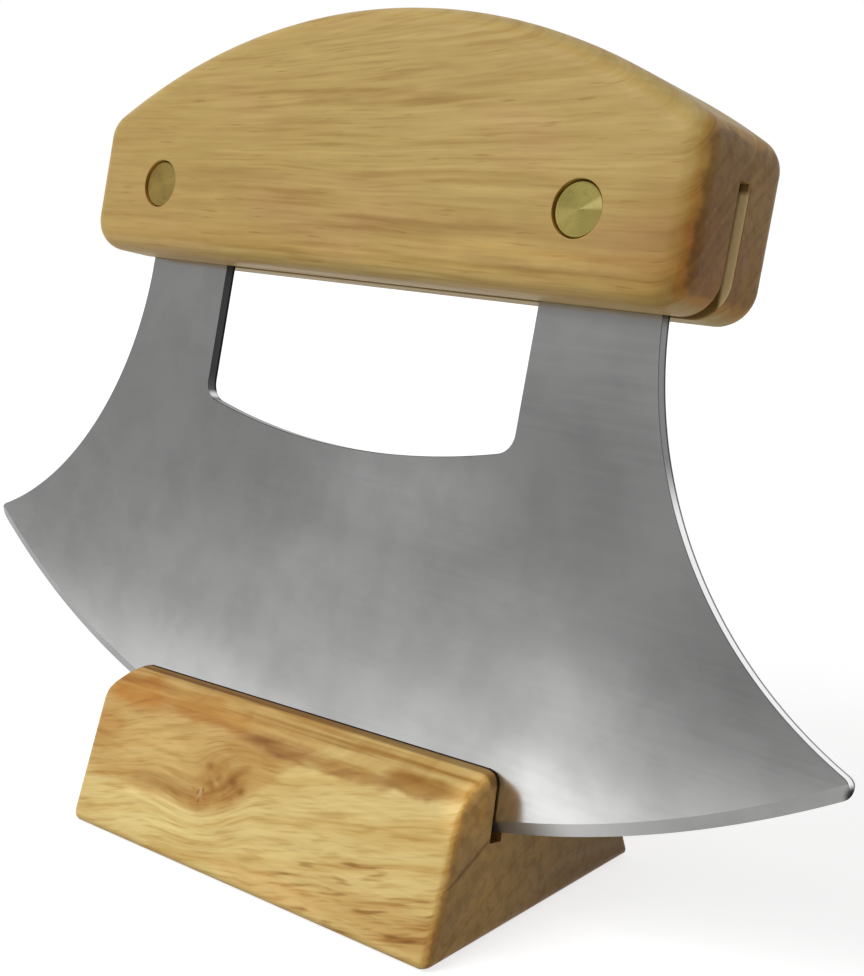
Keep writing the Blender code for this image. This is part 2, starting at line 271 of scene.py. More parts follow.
bpy.ops.mesh.primitive_plane_add(size=FLOOR_SIZE, location=(0, 0, -FLOOR_DROP))
floor = bpy.context.object
floor.name = "floor"
settings = {"Base Color": grey(FLOOR_PAINT), "Roughness": 0.9, "Specular IOR Level": 0}
floor_finish, tree, shader = new_finish("pale_floor", settings | {"Emission Color": grey(1)})
across, deep, _ = parts_of(own_place())
glow = spread(diagonal(across, deep), FLOOR_NEAR, FLOOR_FAR, FLOOR_GLOW_NEAR, FLOOR_GLOW_FAR)
feed(shader.inputs["Emission Strength"], times(glow, seen_rays()))
floor.data.materials.append(floor_finish)
print("floor side:", FLOOR_SIZE, "m")

# %% [markdown]
# ## A grey card for the metal
#
# Flat metal in a white room shows plain white. Photographers stand a card where the metal looks,
# so that it gets a tone from dark to light. This one is grey above and white at its foot and its
# rims, and it reaches lower at the right. Only reflections see it, so it takes no light from the
# wood, and no shadow of it falls on the floor.

# %% Stand up the grey card
CARD_AWAY = 0.5
CARD_TURN = radians(40)
CARD_WIDTH = 1.1
CARD_HEIGHT = 0.6
CARD_GREY = 0.43
CARD_WHITE = 1.12
CARD_FADE = 0.12
CARD_RAMP = 0.33
LOWER_FROM = 0.09
LOWER_BY = 0.45

card_place = (-CARD_AWAY * sin(CARD_TURN), -CARD_AWAY * cos(CARD_TURN), 0)
bpy.ops.mesh.primitive_plane_add(size=1, location=card_place, rotation=(pi / 2, 0, -CARD_TURN))
card = bpy.context.object
card.name = "grey_card"
card.scale = (CARD_WIDTH, CARD_HEIGHT, 1)
bpy.ops.object.transform_apply(location=False, rotation=False, scale=True)
bpy.ops.transform.translate(value=(0, 0, CARD_HEIGHT / 2))
settings = {"Base Color": grey(0), "Roughness": 1, "Specular IOR Level": 0, "Emission Color": grey(1)}
card_finish, tree, shader = new_finish("card_grey", settings)
across, up, _ = parts_of(own_place())
up = calc("ADD", up, CARD_HEIGHT / 2)
low_right = calc("MAXIMUM", calc("SUBTRACT", across, LOWER_FROM), 0)
lowered = calc("MAXIMUM", calc("MULTIPLY_ADD", low_right, LOWER_BY, up), 0)
tone = spread(calc("SQRT", lowered), 0, CARD_RAMP)
tone = times(tone, spread(noise(own_place(), (14, 18, 1)), 0.35, 0.65, 0.9, 1.06))
side_fade = spread(calc("ABSOLUTE", across), CARD_WIDTH / 2 - CARD_FADE, CARD_WIDTH / 2, 1, 0)
top_fade = spread(up, CARD_HEIGHT - CARD_FADE, CARD_HEIGHT, 1, 0)
tone = times(tone, times(side_fade, top_fade))
feed(shader.inputs["Emission Strength"], calc("MULTIPLY_ADD", tone, CARD_GREY - CARD_WHITE, CARD_WHITE))
card.data.materials.append(card_finish)
card.visible_camera = False
card.visible_diffuse = False
card.visible_transmission = False
card.visible_shadow = False
print("card stands at", [round(value, 2) for value in card_place])

# %% [markdown]
# ## How the knife stands
#
# A knife is easiest to build upright, so it has axes of its own: across the blade, to the rear,
# and up from the lowest point of the cutting edge. One matrix then carries each finished piece
# to its place in the leaning slot. The knife also rocks a little to the right, as a round edge
# does on a dished slot floor.

# %% Work out the knife's place
EDGE_RADIUS = 142.7 * MM
SLOT_LEAN = radians(11)
SLOT_FLOOR = Vector((0, -8.7 * MM, 10.5 * MM))
SLOT_FLOOR_RADIUS = 400 * MM
KNIFE_ROCK = radians(3.6)
KNIFE_SHIFT = -0.6 * MM
FIT = 0.3 * MM

edge_middle_x = KNIFE_SHIFT + EDGE_RADIUS * sin(KNIFE_ROCK)
edge_middle_z = SLOT_FLOOR_RADIUS - sqrt((SLOT_FLOOR_RADIUS - EDGE_RADIUS - FIT)**2 - edge_middle_x**2)
SLOT_PLACE = Matrix.Translation(SLOT_FLOOR) @ Matrix.Rotation(-SLOT_LEAN, 4, "X")
KNIFE_START = Matrix.Translation((KNIFE_SHIFT, 0, edge_middle_z - EDGE_RADIUS * cos(KNIFE_ROCK)))
KNIFE_PLACE = SLOT_PLACE @ KNIFE_START @ Matrix.Rotation(KNIFE_ROCK, 4, "Y")
print("lowest point of the edge in mm:", [round(value / MM, 2) for value in KNIFE_PLACE.translation])

# %% [markdown]
# ## Drawing outlines
#
# Blade and handle are flat shapes cut from sheet and board, so each starts as an outline. It is
# drawn as by hand: one point is extruded along straight lines and spun round the middles of the
# arcs. The right side is drawn first, the left side is drawn as its mirror image, and the two
# are joined, filled and pulled to their thickness.


# %% Helpers for drawing
def start_line(name, point):
    """Start a new piece as a single point in the XZ plane, and stay in edit mode."""
    bpy.ops.mesh.primitive_plane_add(size=MM)
    piece = bpy.context.object
    piece.name = name
    piece.data.name = name
    bpy.ops.object.mode_set(mode="EDIT")
    bpy.ops.mesh.select_mode(type="VERT")
    bpy.ops.mesh.merge(type="CENTER")
    bpy.ops.transform.translate(value=(point[0], 0, point[1]))
    return piece


def draw_lines(points, side=1):
    """Extrude the last point in straight lines, point by point. A side of -1 mirrors them."""
    for start, end in zip(points, points[1:]):
        step = (side * (end[0] - start[0]), 0, end[1] - start[1])
        bpy.ops.mesh.extrude_vertices_move(TRANSFORM_OT_translate={"value": step})


def draw_arc(middle, turn, steps, side=1):
    """Spin the last point round a middle. A positive turn runs against the clock."""
    bpy.ops.mesh.spin(steps=steps, angle=side * turn, center=(side * middle[0], 0, middle[1]), axis=(0, 1, 0))


def finish_line():
    """Leave edit mode."""
    bpy.ops.object.mode_set(mode="OBJECT")


def fill_and_thicken(pieces, thickness):
    """Join the drawn lines, fill them, and pull the face to its thickness on both sides of XZ."""
    bpy.ops.object.select_all(action="DESELECT")
    for piece in pieces:
        piece.select_set(True)
    bpy.context.view_layer.objects.active = pieces[0]
    if len(pieces) > 1:
        bpy.ops.object.join()
    bpy.ops.object.mode_set(mode="EDIT")
    bpy.ops.mesh.select_all(action="SELECT")
    bpy.ops.mesh.remove_doubles(threshold=HAIR)
    bpy.ops.mesh.edge_face_add()
    bpy.ops.transform.translate(value=(0, -thickness / 2, 0))
    bpy.ops.mesh.extrude_region_move(TRANSFORM_OT_translate={"value": (0, thickness, 0)})
    bpy.ops.mesh.select_all(action="SELECT")
    bpy.ops.mesh.normals_make_consistent(inside=False)
    bpy.ops.object.mode_set(mode="OBJECT")
    return pieces[0]


def direction(start, end):
    """The angle of the line from one point to another."""
    return atan2(end[1] - start[1], end[0] - start[0])


def along(start, angle, distance):
    """The point at a distance from another, at an angle."""
    return (start[0] + distance * cos(angle), start[1] + distance * sin(angle))


print("drawing helpers ready")

# %% [markdown]
# ## Tools for shaping
#
# The next helpers do what a workshop does: round chosen edges, saw a slot, drill a hole, and
# carry a finished piece to its place. Edges are chosen by a rule on where they lie.


# %% Helpers for shaping
def make_active(piece):
    """Select one piece and nothing else."""
    bpy.ops.object.select_all(action="DESELECT")
    piece.select_set(True)
    bpy.context.view_layer.objects.active = piece


def round_edges(piece, chosen, width, segments):
    """Bevel the edges that the rule chooses."""
    make_active(piece)
    bpy.ops.object.mode_set(mode="EDIT")
    bpy.ops.mesh.select_mode(type="EDGE")
    bpy.ops.mesh.select_all(action="DESELECT")
    shape = bmesh.from_edit_mesh(piece.data)
    shape.normal_update()
    picked = [edge for edge in shape.edges if chosen(edge)]
    for edge in picked:
        edge.select_set(True)
    bmesh.update_edit_mesh(piece.data)
    bpy.ops.mesh.bevel(offset=width, segments=segments, affect="EDGES", clamp_overlap=True)
    bpy.ops.object.mode_set(mode="OBJECT")
    return len(picked)


def on_rim(edge):
    """True for an edge of the front or the rear face."""
    return abs(edge.verts[0].co.y - edge.verts[1].co.y) < HAIR


def turns_by(edge, angle):
    """True for an outer edge whose two faces turn by more than the angle."""
    return edge.is_manifold and edge.is_convex and edge.calc_face_angle() > angle


def saw_out(piece, cutter, solver="EXACT"):
    """Cut one piece with another, and remove the cutter."""
    make_active(piece)
    removal = piece.modifiers.new("saw", "BOOLEAN")
    removal.operation = "DIFFERENCE"
    removal.solver = solver
    removal.object = cutter
    bpy.ops.object.modifier_apply(modifier="saw")
    bpy.data.objects.remove(cutter, do_unlink=True)


def drill(radius, length, middle, sides=64):
    """A round cutter along Y."""
    bpy.ops.mesh.primitive_cylinder_add(vertices=sides, radius=radius, depth=length, location=middle,
                                        rotation=(pi / 2, 0, 0))
    bpy.ops.object.transform_apply(location=True, rotation=True, scale=True)
    return bpy.context.object


def carry_to(piece, place):
    """Put a piece in its place and keep that place in its mesh."""
    make_active(piece)
    piece.matrix_world = place
    bpy.ops.object.transform_apply(location=True, rotation=True, scale=True)


def smooth_off(piece, angle):
    """Shade the piece smooth, keep edges above the angle crisp, and let large faces look flat."""
    make_active(piece)
    bpy.ops.object.shade_smooth_by_angle(angle=angle)
    weights = piece.modifiers.new("weights", "WEIGHTED_NORMAL")
    weights.keep_sharp = True
    bpy.ops.object.modifier_apply(modifier="weights")


def hand_over(piece, node, body, finish):
    """Dress a finished piece, let it stand for its CAD node, and say how it compares in size."""
    piece.data.materials.clear()
    piece.data.materials.append(finish)
    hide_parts(node)
    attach(piece, body)
    shape = bmesh.new()
    shape.from_mesh(piece.data)
    open_edges = sum(1 for edge in shape.edges if not edge.is_manifold)
    shape.free()
    low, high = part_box(node)
    corners = [vertex.co for vertex in piece.data.vertices]
    gaps = [round((min(co[n] for co in corners) - low[n]) / MM, 2) for n in range(3)]
    gaps += [round((high[n] - max(co[n] for co in corners)) / MM, 2) for n in range(3)]
    print(piece.name, "faces:", len(piece.data.polygons), "open edges:", open_edges)
    print("  inside its node by mm:", gaps)


print("shaping helpers ready")

# %% [markdown]
# ## The blade's outline
#
# The blade is sawn from sheet steel. Below is one long arc, the cutting edge. The sides are
# hollow arcs that rise from the tips to the waist, where the legs begin, and between the legs is
# the finger window, with a shallow curved floor. It is cut by hand, so its sides differ a little.

# %% Draw the blade
BLADE_THICKNESS = 1.6 * MM
CORNER_SPAN = 154.9 * MM
TIP_RADIUS = 1.4 * MM
LEG_TOP = 82.6 * MM
WINDOW_FLOOR = 45.3 * MM
WINDOW_FLOOR_RADIUS = 115.6 * MM
WINDOW_CORNER_RADIUS = 2.8 * MM
WINDOW_FLOOR_SHIFT = -2.2 * MM
RIGHT_SIDE = {"waist": 44.6 * MM, "waist_height": 70.2 * MM, "window": 27.3 * MM}
LEFT_SIDE = {"waist": 46.1 * MM, "waist_height": 67.3 * MM, "window": 29.25 * MM}
EDGE_STEPS, TIP_STEPS, SIDE_STEPS, WINDOW_CORNER_STEPS, WINDOW_FLOOR_STEPS = 96, 10, 56, 12, 40


def tip_middle(side_middle, side_radius):
    """The middle of the tip's rounding, which touches the hollow side and the cutting edge."""
    edge_middle = (0, EDGE_RADIUS)
    apart = hypot(edge_middle[0] - side_middle[0], edge_middle[1] - side_middle[1])
    to_side = side_radius + TIP_RADIUS
    to_edge = EDGE_RADIUS - TIP_RADIUS
    swing = acos((to_side**2 + apart**2 - to_edge**2) / (2 * to_side * apart))
    return along(side_middle, direction(side_middle, edge_middle) + swing, to_side)


def draw_blade_side(name, waist, waist_height, window, floor_shift, side):
    """Half of the edge, the tip, the hollow side, a leg, and half of the window."""
    edge_middle = (0, EDGE_RADIUS)
    corner_height = EDGE_RADIUS - sqrt(EDGE_RADIUS**2 - (CORNER_SPAN / 2)**2)
    reach = CORNER_SPAN / 2 - waist
    rise = waist_height - corner_height
    side_radius = (reach**2 + rise**2) / (2 * reach)
    side_middle = (waist + side_radius, waist_height)
    tip = tip_middle(side_middle, side_radius)
    edge_end = direction(edge_middle, tip)
    tip_end = direction(tip, side_middle)
    side_start = direction(side_middle, tip) + 2 * pi

    floor_middle = (floor_shift, WINDOW_FLOOR + WINDOW_FLOOR_RADIUS)
    corner_x = window - WINDOW_CORNER_RADIUS
    corner_drop = sqrt((WINDOW_FLOOR_RADIUS - WINDOW_CORNER_RADIUS)**2 - (corner_x - floor_shift)**2)
    corner = (corner_x, floor_middle[1] - corner_drop)
    corner_end = direction(floor_middle, corner)

    piece = start_line(name, (0, 0))
    draw_arc(edge_middle, edge_end + pi / 2, EDGE_STEPS, side)
    draw_arc(tip, tip_end - edge_end, TIP_STEPS, side)
    draw_arc(side_middle, pi - side_start, SIDE_STEPS, side)
    draw_lines([(waist, waist_height), (waist, LEG_TOP), (window, LEG_TOP), (window, corner[1])], side)
    draw_arc(corner, corner_end, WINDOW_CORNER_STEPS, side)
    draw_arc(floor_middle, -pi / 2 - corner_end, WINDOW_FLOOR_STEPS, side)
    finish_line()
    return piece


blade_right = draw_blade_side("blade_plate", side=1, floor_shift=WINDOW_FLOOR_SHIFT, **RIGHT_SIDE)
blade_left = draw_blade_side("blade_left", side=-1, floor_shift=-WINDOW_FLOOR_SHIFT, **LEFT_SIDE)
blade = fill_and_thicken([blade_right, blade_left], BLADE_THICKNESS)
print("blade outline points:", len(blade.data.vertices) // 2)

# %% [markdown]
# ## Easing and grinding the blade
#
# A maker takes the burr off every rim with a file, and grinds the long arc to an edge. The file
# is a small bevel on all rims but the arc. The grinding stone is a ring round the arc's middle,
# with a slanted face, that takes the steel away on both sides.

# %% Ease, grind and drill the blade
RIM_EASE = 0.2 * MM
GRIND_WIDTH = 1.5 * MM
EDGE_THICKNESS = 0.2 * MM
OVERRUN = 4 * MM
GRIND_SWING = radians(90)
GRIND_STEPS = 360
RIVET_SPACING = 73.2 * MM
RIVET_HEIGHT = 77.3 * MM
RIVET_HOLE_RADIUS = 2.3 * MM
SHARP_ANGLE = radians(22)


def on_blade_rim(edge):
    """A rim edge that isn't part of the cutting edge."""
    middle = (edge.verts[0].co + edge.verts[1].co) / 2
    return on_rim(edge) and hypot(middle.x, middle.z - EDGE_RADIUS) < EDGE_RADIUS - 3 * HAIR


def grinding_ring(way):
    """The stone's path on one face: way is -1 at the front and 1 at the rear."""
    slope = (BLADE_THICKNESS - EDGE_THICKNESS) / 2 / GRIND_WIDTH
    inner = EDGE_RADIUS - GRIND_WIDTH - OVERRUN
    outer = EDGE_RADIUS + OVERRUN
    section = [(inner, BLADE_THICKNESS / 2 + slope * OVERRUN), (inner, BLADE_THICKNESS / 2 + 2 * OVERRUN)]
    section += [(outer, BLADE_THICKNESS / 2 + 2 * OVERRUN), (outer, EDGE_THICKNESS / 2 - slope * OVERRUN)]
    ring = start_line("grinding_ring", (0, -inner))
    bpy.ops.transform.translate(value=(0, way * section[0][1], 0))
    for start, end in zip(section, section[1:] + section[:1]):
        step = (0, way * (end[1] - start[1]), start[0] - end[0])
        bpy.ops.mesh.extrude_vertices_move(TRANSFORM_OT_translate={"value": step})
    bpy.ops.mesh.select_all(action="SELECT")
    bpy.ops.mesh.remove_doubles(threshold=HAIR)
    bpy.ops.transform.rotate(value=-GRIND_SWING / 2, orient_axis="Y", center_override=(0, 0, 0))
    bpy.ops.mesh.spin(steps=GRIND_STEPS, angle=GRIND_SWING, center=(0, 0, 0), axis=(0, 1, 0))
    bpy.ops.mesh.select_all(action="SELECT")
    bpy.ops.mesh.fill_holes(sides=4)
    bpy.ops.mesh.normals_make_consistent(inside=False)
    bpy.ops.transform.translate(value=(0, 0, EDGE_RADIUS))
    finish_line()
    return ring


print("eased edges:", round_edges(blade, on_blade_rim, RIM_EASE, 1))
for way in (-1, 1):
    saw_out(blade, grinding_ring(way), "MANIFOLD")
for side in (-1, 1):
    hole_middle = (side * RIVET_SPACING / 2, 0, RIVET_HEIGHT)
    saw_out(blade, drill(RIVET_HOLE_RADIUS, BLADE_THICKNESS + OVERRUN, hole_middle))
smooth_off(blade, SHARP_ANGLE)
carry_to(blade, KNIFE_PLACE)
print("blade faces:", len(blade.data.polygons))

# %% [markdown]
# ## The handle
#
# The handle is a block of birch with a straight underside, straight ends and one broad arc on
# top. Its outline is drawn like the blade's. Then all rims are rounded by sandpaper, a kerf is
# sawn along the underside for the legs, and each rivet gets a hole with a wider mouth at both
# faces for its head. The saw and the drill leave crisp edges, which are eased very little.

# %% Draw and round the handle
HANDLE_LENGTH = 102.9 * MM
HANDLE_THICKNESS = 19 * MM
HANDLE_FOOT = 67.5 * MM
HANDLE_RISE = 34.2 * MM
CROWN_RADIUS = 97.3 * MM
CROWN_SHIFT = 1 * MM
SHOULDER_RADIUS = 4.4 * MM
CORNER_RADIUS = 4.6 * MM
HANDLE_ROUNDING = 3.2 * MM
ROUNDING_STEPS = 8
CORNER_STEPS, SHOULDER_STEPS, CROWN_STEPS = 16, 12, 64


def draw_handle_side(name, crown_shift, side):
    """Half of the underside, the lower corner, the end, the shoulder and half of the crown."""
    half = HANDLE_LENGTH / 2
    top = HANDLE_FOOT + HANDLE_RISE
    corner = (half - CORNER_RADIUS, HANDLE_FOOT + CORNER_RADIUS)
    crown_middle = (crown_shift, top - CROWN_RADIUS)
    apart = CROWN_RADIUS - SHOULDER_RADIUS
    swing = acos((half - SHOULDER_RADIUS - crown_shift) / apart)
    shoulder = along(crown_middle, swing, apart)
    piece = start_line(name, (0, HANDLE_FOOT))
    draw_lines([(0, HANDLE_FOOT), (corner[0], HANDLE_FOOT)], side)
    draw_arc(corner, pi / 2, CORNER_STEPS, side)
    draw_lines([(half, corner[1]), (half, shoulder[1])], side)
    draw_arc(shoulder, swing, SHOULDER_STEPS, side)
    draw_arc(crown_middle, pi / 2 - swing, CROWN_STEPS, side)
    finish_line()
    return piece


handle_right = draw_handle_side("handle_block", CROWN_SHIFT, 1)
handle_left = draw_handle_side("handle_left", -CROWN_SHIFT, -1)
handle = fill_and_thicken([handle_right, handle_left], HANDLE_THICKNESS)
print("rounded edges:", round_edges(handle, on_rim, HANDLE_ROUNDING, ROUNDING_STEPS))

# %% Saw and drill the handle
KERF_WIDTH = BLADE_THICKNESS + 2 * FIT
KERF_DEPTH = 15.4 * MM
KERF_EASE = 0.22 * MM
EASE_STEPS = 2
SAWN_TURN = radians(40)
HEAD_RADIUS = 3.3 * MM
HEAD_THICKNESS = 1.2 * MM
HEAD_RECESS = 0.4 * MM
MOUTH_GAP = 0.06 * MM
MOUTH_RADIUS = HEAD_RADIUS + MOUTH_GAP
MOUTH_DEPTH = HEAD_RECESS + HEAD_THICKNESS + FIT
MOUTH_SIDES = 96


def in_the_kerf(edge):
    """An outer edge where the kerf comes out of the block."""
    start, end = [vertex.co for vertex in edge.verts]
    within = max(abs(start.y), abs(end.y)) < KERF_WIDTH / 2 + HAIR
    from_rivets = min(hypot(abs(co.x) - RIVET_SPACING / 2, co.z - RIVET_HEIGHT) for co in (start, end))
    return within and from_rivets > MOUTH_RADIUS and turns_by(edge, SAWN_TURN)


def round_a_mouth(edge):
    """An outer edge where a rivet's wider mouth meets the front or the rear face."""
    middle = (edge.verts[0].co + edge.verts[1].co) / 2
    from_rivet = hypot(abs(middle.x) - RIVET_SPACING / 2, middle.z - RIVET_HEIGHT)
    at_face = abs(middle.y) > HANDLE_THICKNESS / 2 - HAIR
    return at_face and abs(from_rivet - MOUTH_RADIUS) < 5 * HAIR and turns_by(edge, SAWN_TURN)


kerf_height = KERF_DEPTH + OVERRUN
bpy.ops.mesh.primitive_cube_add(size=1, location=(0, 0, HANDLE_FOOT + KERF_DEPTH - kerf_height / 2),
                                scale=(HANDLE_LENGTH + OVERRUN, KERF_WIDTH, kerf_height))
bpy.ops.object.transform_apply(location=True, rotation=True, scale=True)
saw_out(handle, bpy.context.object)
for side in (-1, 1):
    rivet_x = side * RIVET_SPACING / 2
    saw_out(handle, drill(RIVET_HOLE_RADIUS, HANDLE_THICKNESS + OVERRUN, (rivet_x, 0, RIVET_HEIGHT)))
    for way in (-1, 1):
        mouth_middle = way * (HANDLE_THICKNESS / 2 - MOUTH_DEPTH + (MOUTH_DEPTH + OVERRUN) / 2)
        mouth_place = (rivet_x, mouth_middle, RIVET_HEIGHT)
        saw_out(handle, drill(MOUTH_RADIUS, MOUTH_DEPTH + OVERRUN, mouth_place, MOUTH_SIDES))
print("kerf edges:", round_edges(handle, in_the_kerf, KERF_EASE, EASE_STEPS))
print("mouth edges:", round_edges(handle, round_a_mouth, KERF_EASE / 2, EASE_STEPS))
smooth_off(handle, SHARP_ANGLE)
carry_to(handle, KNIFE_PLACE)
print("handle faces:", len(handle.data.polygons))

# %% [markdown]
# ## The rivets
#
# A cutlery rivet comes in two halves: a sleeve is pushed in from the front, and a pin is driven
# into it from the rear. Both are turned on a lathe, and the lathe leaves fine rings on the head,
# which catch the light as two bright wedges; here the brass finish paints those wedges as highlights.
# So each half is a profile spun once round, with the rings drawn into it, and the left half is a
# copy of the right one.

# %% Turn the rivets
SHANK_RADIUS = 2 * MM
SLEEVE_WALL = 0.5 * MM
HEAD_CHAMFER = 0.2 * MM
RING_PITCH = 0.155 * MM
RING_DEPTH = 0.012 * MM
RING_COUNT = 19
LATHE_STEPS = 128
RING_ANGLE = radians(10)
HEAD_TOP = HANDLE_THICKNESS / 2 - HEAD_RECESS
HEAD_SEAT = HEAD_TOP - HEAD_THICKNESS
SHANK_END = -HEAD_SEAT + FIT


def turn_rivet(name, shank):
    """Draw half a section, head first, and spin it round the Z axis."""
    half = start_line(name, (0, HEAD_TOP))
    section = [(0, HEAD_TOP)]
    for ring in range(RING_COUNT):
        section += [((ring + 0.5) * RING_PITCH, HEAD_TOP - RING_DEPTH), ((ring + 1) * RING_PITCH, HEAD_TOP)]
    section += [(HEAD_RADIUS - HEAD_CHAMFER, HEAD_TOP), (HEAD_RADIUS, HEAD_TOP - HEAD_CHAMFER)]
    draw_lines(section + [(HEAD_RADIUS, HEAD_SEAT)] + shank)
    bpy.ops.mesh.select_all(action="SELECT")
    bpy.ops.mesh.spin(steps=LATHE_STEPS, angle=2 * pi, center=(0, 0, 0), axis=(0, 0, 1))
    bpy.ops.mesh.select_all(action="SELECT")
    bpy.ops.mesh.remove_doubles(threshold=HAIR)
    bpy.ops.mesh.normals_make_consistent(inside=False)
    finish_line()
    smooth_off(half, RING_ANGLE)
    return half


bore = SHANK_RADIUS - SLEEVE_WALL
pin = bore - FIT
sleeve_shank = [(SHANK_RADIUS, HEAD_SEAT), (SHANK_RADIUS, SHANK_END), (bore, SHANK_END), (bore, HEAD_SEAT)]
pin_shank = [(pin, HEAD_SEAT), (pin, SHANK_END)]
rivets = {}
kinds = (("sleeve", sleeve_shank + [(0, HEAD_SEAT)], pi / 2), ("pin", pin_shank + [(0, SHANK_END)], -pi / 2))
for kind, shank, turn in kinds:
    right = turn_rivet("turned_" + kind + "_right", shank)
    carry_to(right, Matrix.Translation((RIVET_SPACING / 2, 0, RIVET_HEIGHT)) @ Matrix.Rotation(turn, 4, "X"))
    bpy.ops.object.duplicate()
    left = bpy.context.object
    left.name = "turned_" + kind + "_left"
    left.data.name = left.name
    carry_to(left, Matrix.Translation((-RIVET_SPACING, 0, 0)))
    for side, half in (("right", right), ("left", left)):
        carry_to(half, KNIFE_PLACE)
        rivets[kind + "_" + side] = half
print("rivet halves:", ", ".join(sorted(rivets)))

# %% [markdown]
# ## The stand
#
# The stand is a small block with leaning faces and a low crown. Its section is drawn, pulled to
# its length and turned to lie along X. Hands have sanded it unevenly: the left end of the top is
# rounder than the rest and the rear foot is the crispest, so every edge has its own width of
# bevel. The slot is one cut with a leaning saw, and its lips are eased.

# %% Shape the stand
STAND_LENGTH = 68 * MM
STAND_FOOT = 21.5 * MM
STAND_SHOULDER = (14.3 * MM, 18.7 * MM)
STAND_CREST = (7.7 * MM, 20.8 * MM)
WIDEST_ROUNDING = 4.6 * MM
ROUNDING_MM = {"top_left": 4.6, "end_left": 2.2, "end_right": 2.2, "corner_left": 1.9, "corner_right": 1.8,
               "foot": 2, "along": 3, "crest": 2.4, "rear_foot": 0.8}
STAND_ROUNDING_STEPS = 7

section = [(-STAND_FOOT, 0), (STAND_FOOT, 0), STAND_SHOULDER, STAND_CREST]
section += [(-STAND_CREST[0], STAND_CREST[1]), (-STAND_SHOULDER[0], STAND_SHOULDER[1]), (-STAND_FOOT, 0)]
stand = start_line("stand_block", section[0])
draw_lines(section)
finish_line()
fill_and_thicken([stand], STAND_LENGTH)
carry_to(stand, Matrix.Rotation(pi / 2, 4, "Z"))


def where(edge):
    """The name of one edge of the block, by where it runs."""
    start, end = [vertex.co for vertex in edge.verts]
    low, high = sorted((start.z, end.z))
    on_top = low > STAND_SHOULDER[1] + HAIR
    if abs(start.x - end.x) > HAIR:
        if high < HAIR:
            return "foot" if start.y < 0 else "rear_foot"
        return "crest" if on_top else "along"
    if low > HAIR:
        return "end_right" if start.x > 0 else "top_left" if on_top else "end_left"
    if high > HAIR:
        return "rear_foot" if start.y > 0 else "corner_left" if start.x < 0 else "corner_right"
    return "foot"


shape = bmesh.new()
shape.from_mesh(stand.data)
share = shape.edges.layers.float.new("bevel_weight_edge")
for edge in shape.edges:
    edge[share] = ROUNDING_MM[where(edge)] * MM / WIDEST_ROUNDING
shape.to_mesh(stand.data)
shape.free()
make_active(stand)
sanding = stand.modifiers.new("sanding", "BEVEL")
sanding.limit_method = "WEIGHT"
sanding.width = WIDEST_ROUNDING
sanding.segments = STAND_ROUNDING_STEPS
bpy.ops.object.modifier_apply(modifier="sanding")
print("stand faces:", len(stand.data.polygons))

# %% Saw the slot
SLOT_WIDTH = BLADE_THICKNESS + 2 * FIT
SLOT_STEPS = 24
SLOT_LIP = 0.7 * MM
LIP_STEPS = 3
LIP_TURN = radians(30)

slot_reach = STAND_LENGTH / 2 + OVERRUN
slot_swing = atan2(slot_reach, sqrt(SLOT_FLOOR_RADIUS**2 - slot_reach**2))
slot_side = SLOT_FLOOR_RADIUS - SLOT_FLOOR_RADIUS * cos(slot_swing)
slot_top = STAND_CREST[1] + OVERRUN
saw = start_line("slot_saw", (-slot_reach, slot_side))
draw_arc((0, SLOT_FLOOR_RADIUS), 2 * slot_swing, SLOT_STEPS)
saw_back = [(slot_reach, slot_top), (-slot_reach, slot_top)]
draw_lines([(slot_reach, slot_side), *saw_back, (-slot_reach, slot_side)])
finish_line()
fill_and_thicken([saw], SLOT_WIDTH)
carry_to(saw, SLOT_PLACE)
saw_out(stand, saw)

SLOT_ACROSS = SLOT_PLACE.to_3x3() @ Vector((0, 1, 0))


def on_slot_lip(edge):
    """An outer edge where the slot comes out of the block."""
    offsets = [abs((vertex.co - SLOT_FLOOR).dot(SLOT_ACROSS)) for vertex in edge.verts]
    return max(abs(offset - SLOT_WIDTH / 2) for offset in offsets) < HAIR and turns_by(edge, LIP_TURN)


print("lip edges:", round_edges(stand, on_slot_lip, SLOT_LIP, LIP_STEPS))
smooth_off(stand, SHARP_ANGLE)

# %% [markdown]
# ## What makes wood look like wood
#
# A board shows the tree's growth rings. Seen from the side they run along the board as soft lines,
# and at its end they are arcs round the pith, the middle of the trunk, which here lies outside the
# board. So every wood finish starts from two numbers: how far a place lies along the grain, and
# how far it lies from the pith. Noise that is drawn out along the first and fine across the second
# gives the lines, on every side of the block alike. Ends soak up more oil, so they are darker.


# %% Helpers for wood
PATCH_DEPTH = 9


def from_pith(across, up, pith):
    """The distance from the pith, which runs along the grain."""
    return diagonal(calc("SUBTRACT", across, pith[0]), calc("SUBTRACT", up, pith[1]))


def pushed(value, pattern, reach):
    """The value, pushed up and down by a pattern."""
    return calc("MULTIPLY_ADD", calc("SUBTRACT", pattern, 0.5), reach, value)


def streaks(along_grain, growth, along_scale, growth_scale, detail=3.0):
    """Noise that is drawn out along the grain and follows the growth rings."""
    inputs = {"X": times(along_grain, along_scale), "Z": times(growth, growth_scale)}
    return noise(add_node("CombineXYZ", inputs, "Vector"), None, detail, 0.6)


def soft_patch(place, middle, reach):
    """A soft patch: 1 at its middle, 0 past its reach along each axis. Both are in millimetres."""
    middle, reach = [[value * MM for value in triple] for triple in (middle, reach)]
    inputs = {0: seen_from(place, middle, size=reach)}
    return spread(add_node("VectorMath", inputs, "Value", operation="LENGTH"), 0, 1, 1, 0)


def shaken(place, scale, reach):
    """The place, pushed about by noise, so that a patch laid on it gets an uneven outline."""
    push = add_node("TexNoise", {"Vector": place, "Scale": scale}, "Color")
    back = add_node("VectorMath", {0: place, 1: [reach / 2] * 3}, "Vector", operation="SUBTRACT")
    return add_node("VectorMath", {0: push, 1: [reach] * 3, 2: back}, "Vector", operation="MULTIPLY_ADD")


